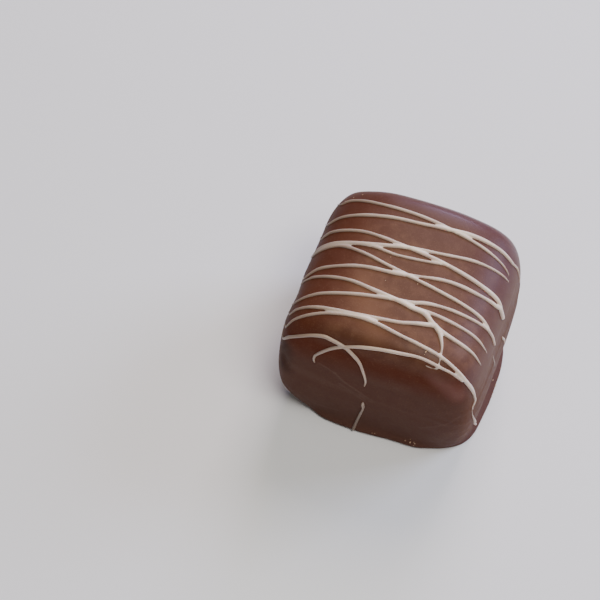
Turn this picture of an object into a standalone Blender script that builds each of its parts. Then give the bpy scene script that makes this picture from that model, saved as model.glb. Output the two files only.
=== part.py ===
"""A marshmallow bite: a marshmallow lying on its side in a chocolate coat, with thick white drizzle.

Metres, +Z up. The bite rests on z = 0 and the origin is at the middle of its base. X runs across the
bite, the way the drizzle was thrown, and Y runs along the marshmallow, with -Y at the near end.
"""
import math

import bmesh
import bpy
from mathutils import Matrix, Vector
from mathutils.bvhtree import BVHTree

MM = 0.001

# The coated bite, over its coat
WIDTH = 34.0 * MM
LENGTH = 31.0 * MM
HEIGHT = 29.3 * MM

# Columns of the coat's cage, as shares of the half width, and how high the crown stands there
CROWN = {0.0: 1.0, 0.62: 0.98, 1.0: 0.87}
# Slices of the cage, as shares of the half length: how wide and how high the bite is there
ENDS = {0.0: (1.0, 1.0), 0.70: (1.015, 1.0), 1.0: (0.92, 0.985)}
# Rings of the cage, as shares of the height: how far the right, left, near and far sides stand out
RINGS = {
    0.00: (1.035, 0.90, 0.975, 0.93),
    0.04: (1.035, 0.90, 0.975, 0.93),
    0.075: (0.95, 0.90, 0.925, 0.925),
    0.36: (1.02, 1.015, 1.01, 1.00),
    0.72: (1.00, 0.96, 0.995, 1.02),
    1.00: (0.91, 0.915, 0.96, 0.98),
}
# The foot is the chocolate that ran down and set round the base, and the neck is the crease over it
FOOT_TOP = 0.04
NECK = 0.075
FOOT_END_WIDTH = 0.64
NEAR_END_TURN = math.radians(1.5)
COAT_LEVELS = 2

# The drizzle is laid out on a sheet that is folded down over the bite's four sides. A place on it is
# (across, along) in mm from its middle: past the half width or the half length it hangs down a side.
# Each strand runs through places, given as (across, along, width of the strand there) in mm.
STRANDS = {
    "far_thin": [(-22.5, 13.2, 0.2), (-16.3, 11.7, 0.4), (-8, 11, 0.55), (4.6, 9.8, 0.6),
                 (15.5, 8.9, 0.4), (18.3, 8.4, 0.2)],
    "far_thick": [(-24.5, 9, 0.2), (-17.8, 7.1, 0.45), (-13.8, 7.7, 0.5), (-5.9, 8.7, 0.6),
                  (7.6, 10.3, 0.8), (17.2, 11.4, 0.55), (21, 11.3, 0.4), (27, 10.7, 0.2)],
    "long_slant": [(-24.5, 6.3, 0.2), (-18.9, 3.9, 0.4), (-14.9, 4.5, 0.5), (-8.4, 4.8, 0.55),
                   (5.1, 3.3, 0.7), (17.6, 2.4, 0.75), (20.7, 1.6, 0.8), (23.4, 1.3, 0.7)],
    "bundle_far": [(-27, 3, 0.2), (-20.5, 0.4, 0.4), (-14, 1.7, 0.6), (-7, 2.6, 0.7), (4.5, 4.8, 0.55),
                   (15.5, 7.1, 0.4), (19.5, 7.3, 0.2)],
    "bundle_middle": [(-19, 0.5, 0.3), (-11.5, 1.8, 0.55), (-7, 2.4, 0.6), (-2, 2, 0.5),
                      (5.8, 3.3, 0.5)],
    "bundle_near": [(-23, 1.2, 0.2), (-19, 0.1, 0.4), (-12, 1.3, 0.5), (-3.2, -0.2, 0.55),
                    (7.5, -2, 0.6), (16.8, -3.5, 0.6), (21.9, -3.5, 0.55), (24.7, -3.4, 0.4)],
    "middle": [(-22.5, -3.2, 0.2), (-16.9, -5.3, 0.45), (-12.9, -3.4, 0.55), (-1.1, -1.3, 0.7),
               (7.5, 0.5, 0.65), (17, 1.3, 0.65), (19.4, 1.6, 0.6)],
    "forked": [(-23, -4.5, 0.2), (-17.5, -6.3, 0.4), (-8, -4.9, 0.6), (1.6, -6, 0.8), (5.5, -6.6, 0.8),
               (7.9, -8.1, 0.8), (16.1, -9.8, 0.5), (21.8, -9.3, 0.2)],
    "fork_far": [(-22.5, -9, 0.2), (-17.2, -11.2, 0.4), (-10.8, -8.4, 0.6), (-0.4, -6, 0.6),
                 (4.9, -4.8, 0.65), (8.1, -4.3, 0.6), (17.1, -3.9, 0.5)],
    "fork_near": [(0, -5.9, 0.55), (6.8, -6.1, 0.6), (15.9, -6.9, 0.5), (22.3, -6.5, 0.2)],
    "near_short": [(-22, -11, 0.2), (-16.9, -13.5, 0.35), (-11.6, -11.4, 0.6), (-0.1, -9.9, 0.6),
                   (4.3, -8.9, 0.65), (7.9, -7.9, 0.8)],
    "near_long": [(-22.5, -12.6, 0.2), (-17.4, -17.2, 0.35), (-15.1, -14.5, 0.45), (-9.2, -11.9, 0.5),
                  (-2, -10.8, 0.7), (6.1, -12, 0.6), (15.9, -14.6, 0.7), (18.5, -14.7, 0.7),
                  (23.2, -13.4, 0.65), (29.5, -13.1, 0.3)],
    "corner_drip": [(29.5, -13.1, 0.3), (33.9, -12.3, 0.3), (38.6, -10.4, 0.55), (44.9, -7.7, 0.5)],
    "rim": [(-8.9, -25.4, 0.25), (-8.6, -22.5, 0.5), (-6.4, -19.2, 0.6), (0.2, -15.1, 0.6),
            (7.7, -14.1, 0.5), (15.9, -14.7, 0.55)],
    "loop": [(-23.5, -14.2, 0.2), (-16.1, -22.2, 0.45), (-11.1, -17.9, 0.6), (-7.5, -16.5, 0.65),
             (-2.7, -19.6, 0.6), (-0.6, -25.8, 0.4), (-0.7, -28, 0.2)],
    "loop_tail": [(-0.7, -33.2, 0.2), (-0.7, -34.2, 0.65), (-1.1, -38.4, 0.5), (-2.1, -44.3, 0.55)],
    "drip": [(7.6, -7.8, 0.8), (9, -9.1, 0.75), (10, -11, 0.5), (10.8, -13.6, 0.2)],
    "side_dab": [(28.4, 0.5, 0.3), (31.5, 1.9, 0.4), (34, 2.8, 0.2)],
    "side_wisp": [(26.2, -4.5, 0.2), (33, -2.5, 0.2)],
}
STRAND_STEP = 1.3 * MM
# A strand is nowhere thinner than this, and stands off the coat by a share of its half width
THINNEST = 0.35 * MM
STRAND_LIFT = 0.15
# A strand is pressed from the sheet on to the coat, towards the point this share of the way out from
# the bite's upright axis, at this share of its height
CORE_OUT = 0.5
CORE_UP = 0.45

# Moves the finished bite so that the middle of its box is over the origin
TO_MIDDLE = Vector((-0.32, 0.07, 0.0)) * MM

# Strands are welded within this distance, and edges steeper than this stay sharp in the shading
WELD = 0.01 * MM
SHARP_EDGE = math.radians(40)
CHOCOLATE = (0.1, 0.037, 0.02)
CHOCOLATE_ROUGHNESS = 0.48


def material(name, colour, roughness):
    """A plain material for a sub-part."""
    made = bpy.data.materials.new(name)
    made.use_nodes = True
    shader = made.node_tree.nodes["Principled BSDF"]
    shader.inputs["Base Color"].default_value = (*colour, 1.0)
    shader.inputs["Roughness"].default_value = roughness
    return made


def collection(name):
    """A new collection in the scene."""
    made = bpy.data.collections.new(name)
    bpy.context.scene.collection.children.link(made)
    return made


def look_up(table, share):
    """The row of a table of shares that a share stands for."""
    return next(row for key, row in table.items() if abs(key - share) < 0.001)


def cut_box():
    """A box of the bite's size, cut through at each column, slice and ring of the cage."""
    cage = bmesh.new()
    bmesh.ops.create_cube(cage, size=1.0)
    bmesh.ops.scale(cage, verts=cage.verts, vec=(WIDTH, LENGTH, HEIGHT))
    bmesh.ops.translate(cage, verts=cage.verts, vec=(0.0, 0.0, HEIGHT / 2))
    places = [(Vector((side * share * WIDTH / 2, 0, 0)), Vector((1, 0, 0)))
              for share in CROWN for side in (-1, 1) if 0 < share < 1]
    places += [(Vector((0, side * share * LENGTH / 2, 0)), Vector((0, 1, 0)))
               for share in ENDS for side in (-1, 1) if 0 < share < 1]
    places += [(Vector((0, 0, 0)), Vector((1, 0, 0))), (Vector((0, 0, 0)), Vector((0, 1, 0)))]
    places += [(Vector((0, 0, share * HEIGHT)), Vector((0, 0, 1))) for share in RINGS if 0 < share < 1]
    for place, normal in places:
        everything = cage.verts[:] + cage.edges[:] + cage.faces[:]
        bmesh.ops.bisect_plane(cage, geom=everything, plane_co=place, plane_no=normal)
    return cage


def shape_cage(cage):
    """Moves each corner of the cut box to its place on the loaf-shaped cage."""
    neck = NECK * HEIGHT
    for corner in cage.verts:
        box = corner.co.copy()
        across, along, up = abs(box.x) / (WIDTH / 2), abs(box.y) / (LENGTH / 2), box.z / HEIGHT
        right, left, near, far = look_up(RINGS, up)
        end_width, end_height = look_up(ENDS, along)
        if up < (FOOT_TOP + NECK) / 2 and along > 0.99:
            end_width = FOOT_END_WIDTH
        corner.co.x = box.x * end_width * (right if box.x > 0 else left)
        corner.co.y = box.y * (near if box.y < 0 else far)
        if up > NECK:
            corner.co.z = neck + (box.z - neck) * look_up(CROWN, across) * end_height
        if box.y < 0:
            corner.co.y += corner.co.x * math.sin(NEAR_END_TURN * along)


def make_coat(parts):
    """The chocolate coat with its foot: a coarse cage made soft by subdivision."""
    cage = cut_box()
    shape_cage(cage)
    mesh = bpy.data.meshes.new("marshmallow_bite")
    cage.to_mesh(mesh)
    cage.free()
    coat = bpy.data.objects.new("marshmallow_bite", mesh)
    parts.objects.link(coat)
    soft = coat.modifiers.new("soft", "SUBSURF")
    soft.levels = COAT_LEVELS
    soft.render_levels = COAT_LEVELS
    mesh.materials.append(material("chocolate", CHOCOLATE, CHOCOLATE_ROUGHNESS))
    return coat


def between(before, start, end, after, share):
    """A place on the smooth curve from start to end, a share of the way along it."""
    return 0.5 * (2 * start + (end - before) * share
                  + (2 * before - 5 * start + 4 * end - after) * share ** 2
                  + (3 * start - before - 3 * end + after) * share ** 3)


def on_coat(surface, across, along):
    """The point of the coat under a place on the folded sheet, given in mm."""
    across, along = across * MM, along * MM
    drop = max(0.0, abs(across) - WIDTH / 2) + max(0.0, abs(along) - LENGTH / 2)
    sheet = Vector((max(-WIDTH / 2, min(WIDTH / 2, across)),
                    max(-LENGTH / 2, min(LENGTH / 2, along)), HEIGHT - drop))
    core = Vector((CORE_OUT * sheet.x, CORE_OUT * sheet.y, CORE_UP * HEIGHT))
    outside = core + 2 * (sheet - core)
    point, _, _, _ = surface.ray_cast(outside, core - outside)
    return point


def route(places, surface):
    """Evenly spaced steps along a smooth curve over the coat: each a point and the strand's width."""
    knots = [Vector((*on_coat(surface, across, along), width * MM)) for across, along, width in places]
    knots = [2 * knots[0] - knots[1]] + knots + [2 * knots[-1] - knots[-2]]
    pieces = 16
    fine = [between(*knots[i:i + 4], j / pieces) for i in range(len(knots) - 3) for j in range(pieces)]
    fine.append(knots[-2])
    lengths = [0.0]
    for here, there in zip(fine, fine[1:]):
        lengths.append(lengths[-1] + (there.xyz - here.xyz).length)
    count = max(2, round(lengths[-1] / STRAND_STEP))
    made, j = [], 0
    for i in range(count + 1):
        wanted = lengths[-1] * i / count
        while j < len(fine) - 2 and lengths[j + 1] < wanted:
            j += 1
        share = (wanted - lengths[j]) / (lengths[j + 1] - lengths[j])
        made.append(fine[j].lerp(fine[j + 1], min(1.0, share)))
    return made


def make_strand(name, places, surface):
    """One strand of drizzle as a closed tube, lying on the coat along its route."""
    steps = route(places, surface)
    curve = bpy.data.curves.new(name, "CURVE")
    curve.dimensions = "3D"
    curve.bevel_depth = 1.0
    curve.bevel_resolution = 1
    curve.use_fill_caps = True
    line = curve.splines.new("POLY")
    line.points.add(len(steps) - 1)
    for i, step in enumerate(steps):
        radius = max(THINNEST, step.w) / 2
        point, normal, _, _ = surface.find_nearest(step.xyz)
        line.points[i].co = (*(point + normal * STRAND_LIFT * radius), 1.0)
        line.points[i].radius = radius
    return bpy.data.objects.new(name, curve)


def make_mesh(drawn, strands):
    """Turns a strand's curve into a closed mesh in the strands' collection."""
    bpy.context.scene.collection.objects.link(drawn)
    bpy.context.view_layer.update()
    mesh = bpy.data.meshes.new_from_object(drawn.evaluated_get(bpy.context.evaluated_depsgraph_get()))
    weld = bmesh.new()
    weld.from_mesh(mesh)
    bmesh.ops.remove_doubles(weld, verts=weld.verts, dist=WELD)
    weld.to_mesh(mesh)
    weld.free()
    tube = bpy.data.objects.new(drawn.name + "_tube", mesh)
    tube.matrix_world = drawn.matrix_world
    strands.objects.link(tube)
    curve = drawn.data
    bpy.data.objects.remove(drawn)
    bpy.data.curves.remove(curve)


def soft_surface(coat):
    """The coat's evaluated surface, for laying strands on."""
    bpy.context.view_layer.update()
    return BVHTree.FromObject(coat, bpy.context.evaluated_depsgraph_get())


def apply_modifiers(thing):
    """Makes what an object's modifiers show its own mesh."""
    bpy.context.view_layer.update()
    seen = thing.evaluated_get(bpy.context.evaluated_depsgraph_get())
    mesh = bpy.data.meshes.new_from_object(seen)
    old = thing.data
    thing.modifiers.clear()
    thing.data = mesh
    bpy.data.meshes.remove(old)


def add_drizzle(coat):
    """Fuses every strand to the coat with one union."""
    surface = soft_surface(coat)
    strands = collection("drizzle_strands")
    for name, places in STRANDS.items():
        make_mesh(make_strand(name, places, surface), strands)
    union = coat.modifiers.new("drizzle", "BOOLEAN")
    union.operation = "UNION"
    union.operand_type = "COLLECTION"
    union.collection = strands
    union.solver = "EXACT"
    apply_modifiers(coat)
    for tube in list(strands.objects):
        bpy.data.objects.remove(tube)
    bpy.data.collections.remove(strands)


def main():
    for thing in list(bpy.data.objects):
        bpy.data.objects.remove(thing)
    parts = collection("marshmallow_bite")
    coat = make_coat(parts)
    add_drizzle(coat)
    coat.data.transform(Matrix.Translation(TO_MIDDLE))
    coat.data.shade_smooth()
    coat.data.set_sharp_from_angle(angle=SHARP_EDGE)


main()
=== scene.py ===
# %% [markdown]
# # A chocolate-coated marshmallow bite
#
# The real bite is a marshmallow lying on its side, dipped in milk chocolate and set on a sheet, so the
# coat is a soft block with a thin foot where it ran down. White coating was then thrown across it
# in quick zigzags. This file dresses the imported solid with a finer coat, a drizzle that is fused where
# strands meet, crumbs, and the finishes. Everything is in metres, with +Z up and the near end at -Y.

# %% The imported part
import math
import random

import bmesh
import bpy
import numpy as np
from mathutils import Matrix, Vector, noise
from mathutils.bvhtree import BVHTree
from mathutils.kdtree import KDTree


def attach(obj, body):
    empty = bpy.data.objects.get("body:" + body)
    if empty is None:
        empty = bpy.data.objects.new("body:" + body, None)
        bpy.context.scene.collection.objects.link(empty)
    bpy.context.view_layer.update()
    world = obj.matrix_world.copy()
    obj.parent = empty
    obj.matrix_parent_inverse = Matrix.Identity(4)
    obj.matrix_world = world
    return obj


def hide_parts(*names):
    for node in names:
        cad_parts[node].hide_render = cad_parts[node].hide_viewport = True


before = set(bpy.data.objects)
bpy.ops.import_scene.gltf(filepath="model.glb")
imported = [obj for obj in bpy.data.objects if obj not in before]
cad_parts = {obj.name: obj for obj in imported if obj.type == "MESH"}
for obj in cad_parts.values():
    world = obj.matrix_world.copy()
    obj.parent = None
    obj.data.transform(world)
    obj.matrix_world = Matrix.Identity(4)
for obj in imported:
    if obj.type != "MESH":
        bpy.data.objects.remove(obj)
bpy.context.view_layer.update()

NODE = "marshmallow_bite"
MM = 0.001

# %% [markdown]
# ## Working on one thing at a time
#
# An operator acts on all that is selected, and loading the part leaves its solid selected. So each step
# begins by selecting just its own object, and in edit mode by selecting just the corners or faces that
# it is to move.

# %% Selecting helpers
def only(thing):
    """Makes one object the selected and active one."""
    bpy.ops.object.select_all(action="DESELECT")
    thing.select_set(True)
    bpy.context.view_layer.objects.active = thing


def apply_all(thing):
    """Applies an object's modifiers, first to last."""
    only(thing)
    for name in [modifier.name for modifier in thing.modifiers]:
        bpy.ops.object.modifier_apply(modifier=name)


def triangles(thing):
    """How many triangles an object's mesh makes."""
    return sum(len(face.vertices) - 2 for face in thing.data.polygons)


# %% [markdown]
# ## The coat's cage
#
# A dipped marshmallow has no flat face and no sharp edge, but it isn't a ball either. A coarse cage made
# soft by subdivision suits such a form: a cube is cut through by planes, the cuts are pulled in or out
# like the rings of a barrel, and the modifier rounds the rest. The shares below say how far each ring
# stands out on each side. The lowest two rings are the foot, and the third is the crease over it.

# %% Sizes of the coat
WIDTH, LENGTH, HEIGHT = 34.0 * MM, 31.0 * MM, 29.3 * MM
# Columns across the bite, with the height of its crown there, as shares
CROWN = {0.0: 1.0, 0.62: 0.98, 1.0: 0.87}
# Slices along the bite, with its width and height there, as shares
ENDS = {0.0: (1.0, 1.0), 0.70: (1.015, 1.0), 1.0: (0.92, 0.985)}
# Rings up the bite, with the reach of its right, left, near and far sides, as shares
FOOT_TOP, NECK = 0.04, 0.075
RINGS = {
    0.00: (1.035, 0.90, 0.975, 0.93),
    FOOT_TOP: (1.035, 0.90, 0.975, 0.93),
    NECK: (0.95, 0.90, 0.925, 0.925),
    0.36: (1.02, 1.015, 1.01, 1.00),
    0.72: (1.00, 0.96, 0.995, 1.02),
    1.00: (0.91, 0.915, 0.96, 0.98),
}
# The foot is narrower at the two ends of the bite, and the near end is turned a little
FOOT_END_WIDTH, NEAR_END_TURN = 0.64, math.radians(1.5)
# From the middle of the cage to the middle of the part
TO_MIDDLE = Vector((-0.32, 0.07, 0.0)) * MM
print("cage:", len(CROWN) * 2 - 1, "columns,", len(ENDS) * 2 - 1, "slices,", len(RINGS), "rings")

# %% Cutting a cube at the rings, columns and slices
MERGE = 0.01 * MM
bpy.ops.object.select_all(action="DESELECT")
bpy.ops.mesh.primitive_cube_add(size=1.0, location=(0.0, 0.0, HEIGHT / 2))
coat = bpy.context.object
coat.name = "chocolate_coat"
coat.scale = (WIDTH, LENGTH, HEIGHT)
only(coat)
bpy.ops.object.transform_apply(location=True, rotation=False, scale=True)
bpy.ops.object.mode_set(mode="EDIT")
bpy.ops.mesh.select_mode(type="VERT")
cuts = [((side * share * WIDTH / 2, 0, 0), (1, 0, 0)) for share in CROWN for side in (-1, 1) if share < 1]
cuts += [((0, side * share * LENGTH / 2, 0), (0, 1, 0)) for share in ENDS for side in (-1, 1) if share < 1]
cuts += [((0, 0, share * HEIGHT), (0, 0, 1)) for share in RINGS if 0 < share < 1]
# A cut through the middle comes up once for each side, and is made once
for place, normal in dict.fromkeys(cuts):
    bpy.ops.mesh.select_all(action="SELECT")
    bpy.ops.mesh.bisect(plane_co=place, plane_no=normal)
bpy.ops.mesh.select_all(action="SELECT")
bpy.ops.mesh.remove_doubles(threshold=MERGE)
bpy.ops.object.mode_set(mode="OBJECT")
print("cage corners:", len(coat.data.vertices))

# %% Pulling the rings, columns and slices to the bite's form
# Where each corner sits in the cut cube, as shares, and how near to a ring it has to be to count as on it
SEATS = [(v.co.x / (WIDTH / 2), v.co.y / (LENGTH / 2), v.co.z / HEIGHT) for v in coat.data.vertices]
CLOSE = 0.001


def pull(wanted, stretch, centre=(0.0, 0.0, 0.0)):
    """Stretches the corners of the cage whose seat in the cut box passes the test."""
    cage = bmesh.from_edit_mesh(coat.data)
    for corner, seat in zip(cage.verts, SEATS):
        corner.select_set(wanted(*seat))
    cage.select_flush_mode()
    bmesh.update_edit_mesh(coat.data)
    bpy.ops.transform.resize(value=stretch, center_override=centre)


def near_to(value, share):
    """Whether a corner is on a ring, a column or a slice."""
    return abs(value - share) < CLOSE


only(coat)
bpy.ops.object.mode_set(mode="EDIT")
for share, (right, left, near, far) in RINGS.items():
    pull(lambda x, y, z: near_to(z, share) and x > 0, (right, 1, 1))
    pull(lambda x, y, z: near_to(z, share) and x < 0, (left, 1, 1))
    pull(lambda x, y, z: near_to(z, share) and y < 0, (1, near, 1))
    pull(lambda x, y, z: near_to(z, share) and y > 0, (1, far, 1))
neck_place = (0.0, 0.0, NECK * HEIGHT)
for share, (end_width, end_height) in ENDS.items():
    pull(lambda x, y, z: near_to(abs(y), share) and (z > FOOT_TOP + CLOSE or share < 1),
         (end_width, 1, 1))
    pull(lambda x, y, z: near_to(abs(y), share) and z > NECK + CLOSE, (1, 1, end_height), neck_place)
pull(lambda x, y, z: near_to(abs(y), 1.0) and z < FOOT_TOP + CLOSE, (FOOT_END_WIDTH, 1, 1))
for share, crown in CROWN.items():
    pull(lambda x, y, z: near_to(abs(x), share) and z > NECK + CLOSE, (1, 1, crown), neck_place)
bpy.ops.object.mode_set(mode="OBJECT")
for corner, (_, farness, _) in zip(coat.data.vertices, SEATS):
    if farness < 0:
        corner.co.y += corner.co.x * math.sin(NEAR_END_TURN * -farness)
spans = [max(values) - min(values) for values in zip(*(corner.co for corner in coat.data.vertices))]
print("cage, mm:", [round(span / MM, 1) for span in spans])

# %% [markdown]
# ## A soft coat
#
# Four levels of subdivision turn the cage into a fine, even skin of quads. Real chocolate that has set
# is never quite smooth: it has long slow waves from the dip, and each small mark is a real dent or rib.
# These could be painted as a bump, but then they would vanish from the mesh and from the outline. So the
# skin's corners are moved along their normals, as a sculptor's brush would do it.

# %% Smoothing the cage
COAT_LEVELS = 4
soft = coat.modifiers.new("soft", "SUBSURF")
soft.levels = COAT_LEVELS
soft.render_levels = COAT_LEVELS
apply_all(coat)
coat.data.transform(Matrix.Translation(TO_MIDDLE))
only(coat)
bpy.ops.object.shade_smooth()
print("coat triangles:", triangles(coat))

# %% Marks in the coat, in millimetres
# Slow waves: how far apart and how deep
WAVES = ((9.0, 0.10), (3.2, 0.035))
# Places where this bite is fuller or slacker than its cage: the place, how wide, and how far out
UNEVEN = [
    ((-16.2, -6.8, 21.5), 3.0, -0.36), ((-12.0, 14.0, 26.2), 3.5, -0.32), ((-16.1, 9.9, 22.0), 3.5, 0.25),
    ((-15.2, -14.3, 6.9), 3.0, 0.25), ((-9.8, -14.5, 1.0), 2.5, -0.28), ((-1.8, -14.9, 1.0), 4.0, 0.35),
    ((10.9, -13.8, 1.0), 2.5, -0.25), ((15.2, -10.8, 1.0), 3.0, 0.30), ((16.6, 8.3, 1.5), 4.0, -0.22),
]
# A faint rib where a thread of coating ran across the near end, from upper left to lower middle
RIB = ((-9.3, 20.2), (-8.3, 19.7), (-5.9, 18.4), (-4.2, 16.2), (-2.5, 14.8), (-0.3, 13.7), (1.2, 13.4))
RIB_WIDTH, RIB_HEIGHT = 0.42, 0.10
# A pinched dent by the left edge of the near end
DENT, DENT_SIZE, DENT_DEPTH = (-14.6, -14.9, 16.6), (1.0, 1.0, 1.6), 0.28
# Ribs that the coat was dragged into along the right wall: height, width and how far they stand out
DRAG_RIBS = ((16.2, 0.5, 0.06), (12.4, 0.45, 0.05), (7.4, 0.45, 0.07))
# A fine fold across the lower right of the near end, where the coat slid and stopped: where it is across
# and up, how wide and high it is, and how far it stands out
FOLD, FOLD_SIZE, FOLD_HEIGHT = (13.0, 13.0), (5.0, 1 / 3), 0.10
# The lip of the foot is wavy, up to this height: how far apart and how deep, and where the waves start
LIP_WAVES, LIP_TOP, LIP_START = ((5.0, 0.16), (1.7, 0.07)), 2.2, Vector((7, 3, 1))
# All marks fade out below this height, so that the bite stands flat
FLAT_BELOW = 0.4
# A point faces near, right or down when its normal leans past these
FACES_NEAR, FACES_RIGHT, FACES_DOWN = -0.7, 0.6, -0.7

# %% How far the marks stand out
def bell(distance, width):
    """One at the middle, falling smoothly to nothing about two widths away."""
    return math.exp(-(distance / width) ** 2)


def rib_distance(across, up):
    """How far a point of the near end is from the rib."""
    here, distances = Vector((across, up)), []
    for start, end in zip(RIB, RIB[1:]):
        start, end = Vector(start), Vector(end)
        share = max(0.0, min(1.0, (here - start).dot(end - start) / (end - start).length_squared))
        distances.append((here - start.lerp(end, share)).length)
    return min(distances)


def mark_height(place, normal):
    """How far the marks move one point of the coat outwards, in millimetres."""
    height = sum(depth * noise.noise(place / apart) for apart, depth in WAVES)
    height += sum(out * bell((place - Vector(spot)).length, width) for spot, width, out in UNEVEN)
    if normal.y < FACES_NEAR:
        height += RIB_HEIGHT * bell(rib_distance(place.x, place.z), RIB_WIDTH)
        off = [(here - middle) / size for here, middle, size in zip(place.xz, FOLD, FOLD_SIZE)]
        height += FOLD_HEIGHT * bell(math.hypot(*off), 1.0)
    off = [(here - middle) / size for here, middle, size in zip(place, DENT, DENT_SIZE)]
    height -= DENT_DEPTH * bell(math.hypot(*off), 1.0)
    if normal.x > FACES_RIGHT:
        height += sum(out * bell(place.z - up, width) for up, width, out in DRAG_RIBS)
    if normal.z > FACES_DOWN:
        lip = sum(depth * noise.noise(place / apart + LIP_START) for apart, depth in LIP_WAVES)
        height += max(0.0, 1 - place.z / LIP_TOP) * lip
    return height


# %% Moving the coat's corners out and in
moves = []
for corner in coat.data.vertices:
    place = corner.co / MM
    fade = max(0.0, min(1.0, place.z / FLAT_BELOW))
    moves.append(corner.normal * mark_height(place, corner.normal) * MM * fade)
for corner, move in zip(coat.data.vertices, moves):
    corner.co += move
coat.data.update()
print("largest mark, mm:", round(max(move.length for move in moves) / MM, 2))
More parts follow.
